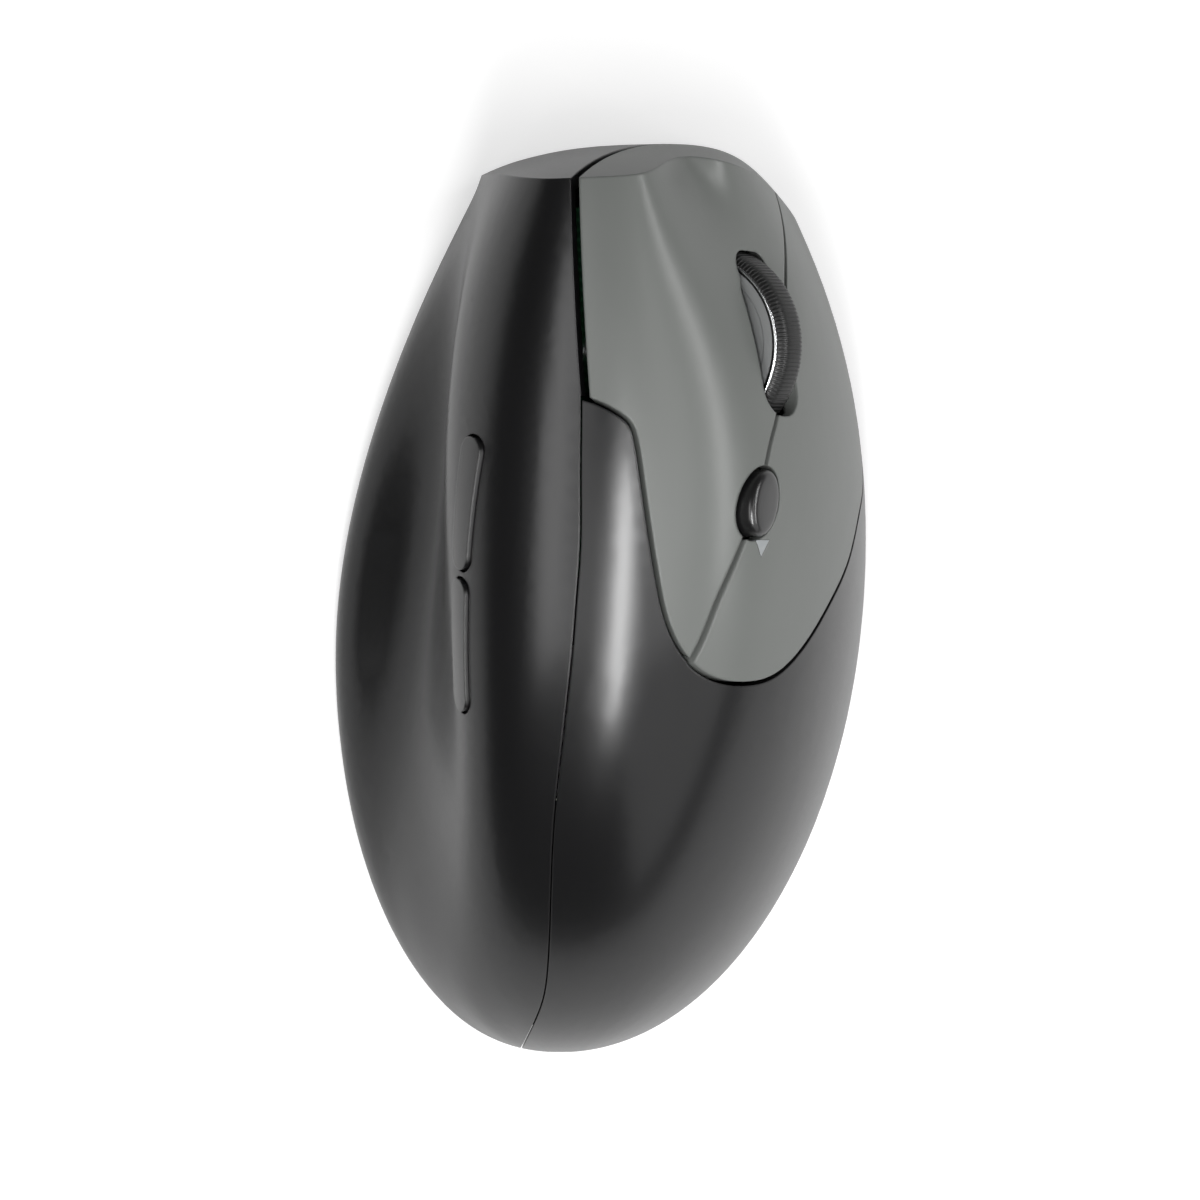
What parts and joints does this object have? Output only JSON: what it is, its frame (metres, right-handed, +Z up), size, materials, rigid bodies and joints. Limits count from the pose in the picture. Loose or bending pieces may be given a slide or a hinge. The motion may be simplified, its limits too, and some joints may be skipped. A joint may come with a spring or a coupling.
{
  "type": "computer mouse",
  "caption": "Upright right-hand computer mouse with sloping main buttons, scroll wheel, thumb buttons and a battery in the base.",
  "frame": {"origin": "on the desk plane under the middle of the body's bounding box", "axes": "+Y to the nose, +Z up from the desk, -X towards the thumb side"},
  "size_m": [0.0702, 0.12, 0.0641],
  "materials": {
    "black_gloss": "gloss black with a satin glow",
    "grey_satin": "satin mid grey",
    "black_base": "fine matt texture",
    "glide": "smooth slippery pads",
    "frame_plastic": "plain moulded plastic",
    "tyre": "fine ribs across the tread",
    "ring": "polished bright rim",
    "wheel_core": "grey moulded plastic",
    "lens": "milky clear plastic",
    "lamp": "clear epoxy",
    "gate": "dark epoxy",
    "board": "green solder mask",
    "chip": "moulded epoxy",
    "can": "drawn metal can",
    "switch_case": "moulded case",
    "plunger": "pale moulded plastic",
    "plug": "cream nylon",
    "cable": "flat flexible cable",
    "steel": "plated steel",
    "contact": "nickel-plated spring steel",
    "cell": "plain wrapped cell"
  },
  "bodies": {
    "case": {"back_switch_case": "switch_case", "base_plate": "black_base", "base_plugs": "plug", "battery": "cell", "board_cable": "cable", "board_screws": "steel", "capacitors": "can", "case_screws": "steel", "controller_chip": "chip", "crystal": "can", "dpi_switch_case": "switch_case", "forward_switch_case": "switch_case", "frame_screws": "steel", "front_contact": "contact", "front_glide": "glide", "hinge_pin": "steel", "inner_frame": "frame_plastic", "left_switch_case": "switch_case", "main_board": "board", "middle_switch_case": "switch_case", "palm_shell": "black_gloss", "power_switch": "switch_case", "rear_contact": "contact", "rear_glide": "glide", "right_switch_case": "switch_case", "scroll_detector": "gate", "scroll_emitter": "gate", "sensor_chip": "chip", "sensor_lens": "lens", "side_board": "board", "side_cable": "cable", "side_glides": "glide", "side_plug": "plug", "slope_plug": "plug", "status_led": "lamp", "switch_board": "board", "thumb_shell": "black_gloss"},
    "left_main": {"left_button": "grey_satin"},
    "right_main": {"right_button": "grey_satin", "status_window": "lens"},
    "left_plunger": {"left_switch_plunger": "plunger"},
    "right_plunger": {"right_switch_plunger": "plunger"},
    "yoke": {"wheel_yoke": "frame_plastic"},
    "wheel": {"wheel_hub": "wheel_core", "wheel_rings": "ring", "wheel_tyre": "tyre"},
    "middle_plunger": {"middle_switch_plunger": "plunger"},
    "dpi_key": {"dpi_button": "black_gloss"},
    "dpi_plunger": {"dpi_switch_plunger": "plunger"},
    "forward_key": {"forward_button": "black_gloss"},
    "forward_plunger": {"forward_switch_plunger": "plunger"},
    "back_key": {"back_button": "black_gloss"},
    "back_plunger": {"back_switch_plunger": "plunger"},
    "knob": {"power_knob": "plunger"},
    "door": {"battery_door": "black_base"}
  },
  "joints": [
    {"name": "left_press", "type": "hinge", "parent": "case", "child": "left_main", "pos_m": [0.01354, 0.00002, 0.04525], "axis": [-0.5446, 0, 0.8387], "range_deg": [0, 0.75], "stiffness_Nm_per_rad": 0.6, "springref_deg": -1.15},
    {"name": "right_press", "type": "hinge", "parent": "case", "child": "right_main", "pos_m": [0.01354, 0.00002, 0.04525], "axis": [-0.5446, 0, 0.8387], "range_deg": [0, 0.75], "stiffness_Nm_per_rad": 0.6, "springref_deg": -1.15},
    {"name": "left_click", "type": "slide", "parent": "case", "child": "left_plunger", "axis": [-0.8387, 0, -0.5446], "range_m": [0, 0.0006]},
    {"name": "right_click", "type": "slide", "parent": "case", "child": "right_plunger", "axis": [-0.8387, 0, -0.5446], "range_m": [0, 0.0006]},
    {"name": "wheel_press", "type": "hinge", "parent": "case", "child": "yoke", "pos_m": [0.01102, 0.01962, 0.04362], "axis": [-0.5446, 0, 0.8387], "range_deg": [0, 1], "stiffness_Nm_per_rad": 0.6, "springref_deg": -1.72},
    {"name": "wheel_spin", "type": "hinge", "parent": "yoke", "child": "wheel", "pos_m": [0.01471, 0.03312, 0.04602], "axis": [0.5446, 0, -0.8387], "continuous": true},
    {"name": "middle_click", "type": "slide", "parent": "case", "child": "middle_plunger", "axis": [-0.8387, 0, -0.5446], "range_m": [0, 0.0005]},
    {"name": "dpi_press", "type": "slide", "parent": "case", "child": "dpi_key", "axis": [-0.8387, 0, -0.5446], "range_m": [0, 0.0004], "stiffness_N_per_m": 800, "springref_m": -0.0003},
    {"name": "dpi_click", "type": "slide", "parent": "case", "child": "dpi_plunger", "axis": [-0.8387, 0, -0.5446], "range_m": [0, 0.0004]},
    {"name": "forward_press", "type": "slide", "parent": "case", "child": "forward_key", "axis": [0.9563, 0, -0.2924], "range_m": [0, 0.0005], "stiffness_N_per_m": 800, "springref_m": -0.0003},
    {"name": "forward_click", "type": "slide", "parent": "case", "child": "forward_plunger", "axis": [0.9563, 0, -0.2924], "range_m": [0, 0.0005]},
    {"name": "back_press", "type": "slide", "parent": "case", "child": "back_key", "axis": [0.9563, 0, -0.2924], "range_m": [0, 0.0005], "stiffness_N_per_m": 800, "springref_m": -0.0003},
    {"name": "back_click", "type": "slide", "parent": "case", "child": "back_plunger", "axis": [0.9563, 0, -0.2924], "range_m": [0, 0.0005]},
    {"name": "power_slide", "type": "slide", "parent": "case", "child": "knob", "axis": [0, 1, 0], "range_m": [0, 0.003]},
    {"name": "door_swing", "type": "hinge", "parent": "case", "child": "door", "pos_m": [-0.0082, 0.02383, 0.00185], "axis": [1, 0, 0], "range_deg": [0, 70]}
  ],
  "couplings": [
    {"joint": "left_click", "follows": "left_press", "m_per_rad": 0.0456},
    {"joint": "right_click", "follows": "right_press", "m_per_rad": 0.0456},
    {"joint": "middle_click", "follows": "wheel_press", "m_per_rad": 0.0285},
    {"joint": "dpi_click", "follows": "dpi_press", "ratio": 1},
    {"joint": "forward_click", "follows": "forward_press", "ratio": 1},
    {"joint": "back_click", "follows": "back_press", "ratio": 1}
  ]
}
